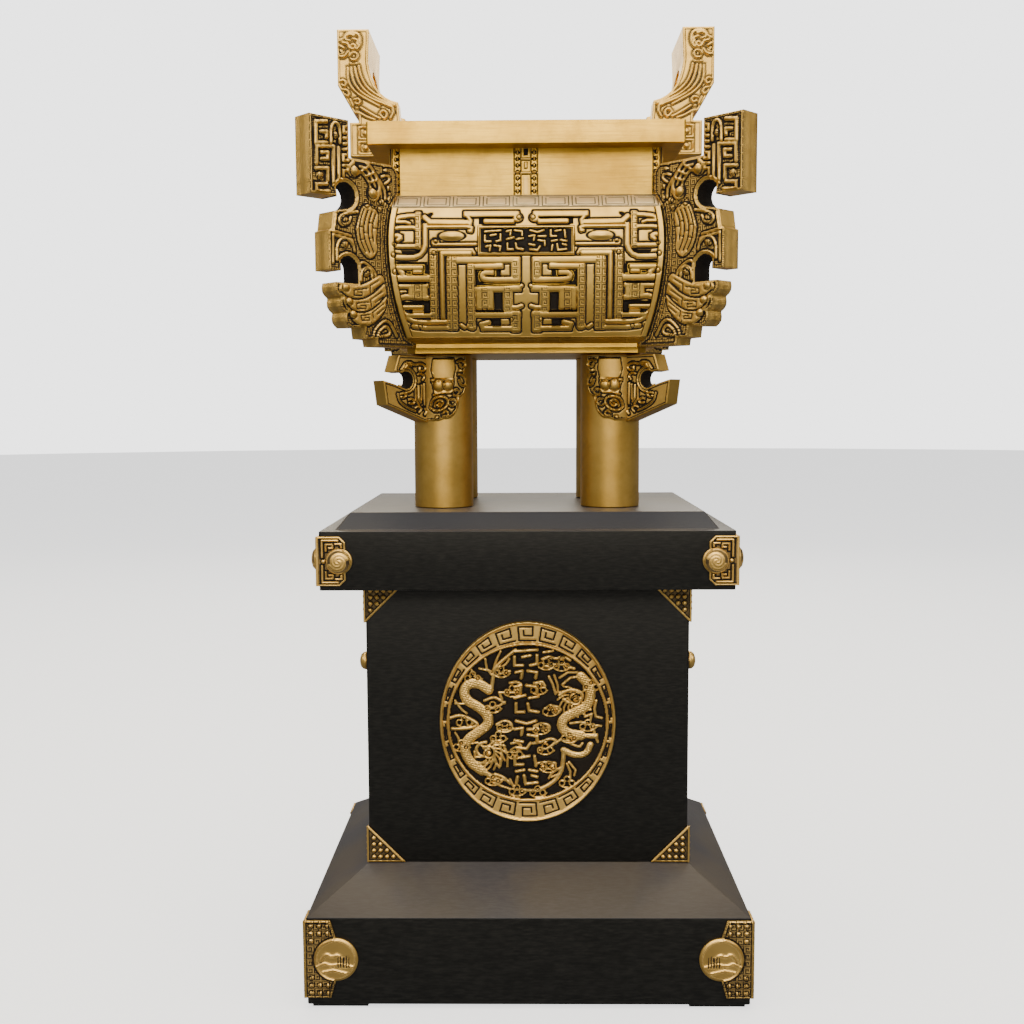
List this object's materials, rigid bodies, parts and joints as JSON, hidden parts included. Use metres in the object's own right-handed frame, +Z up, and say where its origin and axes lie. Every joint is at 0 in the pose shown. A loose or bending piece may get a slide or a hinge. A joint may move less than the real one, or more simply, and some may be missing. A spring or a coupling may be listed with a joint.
{
  "type": "bronze ding vessel on a pedestal",
  "caption": "Rectangular bronze ding vessel with hooked corner ribs, upright loop ears and round legs, fixed on a stepped black wooden pedestal with bronze fittings.",
  "frame": {"origin": "centre of the overall box, on the floor under the feet", "axes": "+Z up, the plaque on the pedestal faces -Y, the ears stand at the +X and -X ends"},
  "size_m": [0.4046, 0.3472, 0.8845],
  "materials": {
    "black_lacquer": "satin black lacquer",
    "fitting_bronze": "cast, dark in the recesses",
    "vessel_bronze": "satin cast bronze, dark patina in the recesses"
  },
  "bodies": {
    "root": {"plinth_base": "black_lacquer", "plinth_shaft": "black_lacquer", "plinth_cap": "black_lacquer", "base_corner_front_left": "fitting_bronze", "base_corner_front_right": "fitting_bronze", "base_corner_back_left": "fitting_bronze", "base_corner_back_right": "fitting_bronze", "cap_corner_front_left": "fitting_bronze", "cap_corner_front_right": "fitting_bronze", "cap_corner_back_left": "fitting_bronze", "cap_corner_back_right": "fitting_bronze", "shaft_corner_bottom_front_left": "fitting_bronze", "shaft_corner_bottom_front_right": "fitting_bronze", "shaft_corner_bottom_back_left": "fitting_bronze", "shaft_corner_bottom_back_right": "fitting_bronze", "shaft_corner_top_front_left": "fitting_bronze", "shaft_corner_top_front_right": "fitting_bronze", "shaft_corner_top_back_left": "fitting_bronze", "shaft_corner_top_back_right": "fitting_bronze", "shaft_medallion": "fitting_bronze", "side_boss_left": "fitting_bronze", "side_boss_right": "fitting_bronze", "vessel_body": "vessel_bronze", "ear_left": "vessel_bronze", "ear_right": "vessel_bronze", "flange_front_left": "vessel_bronze", "flange_front_right": "vessel_bronze", "flange_back_left": "vessel_bronze", "flange_back_right": "vessel_bronze", "leg_front_left": "vessel_bronze", "leg_front_right": "vessel_bronze", "leg_back_left": "vessel_bronze", "leg_back_right": "vessel_bronze"}
  },
  "joints": []
}
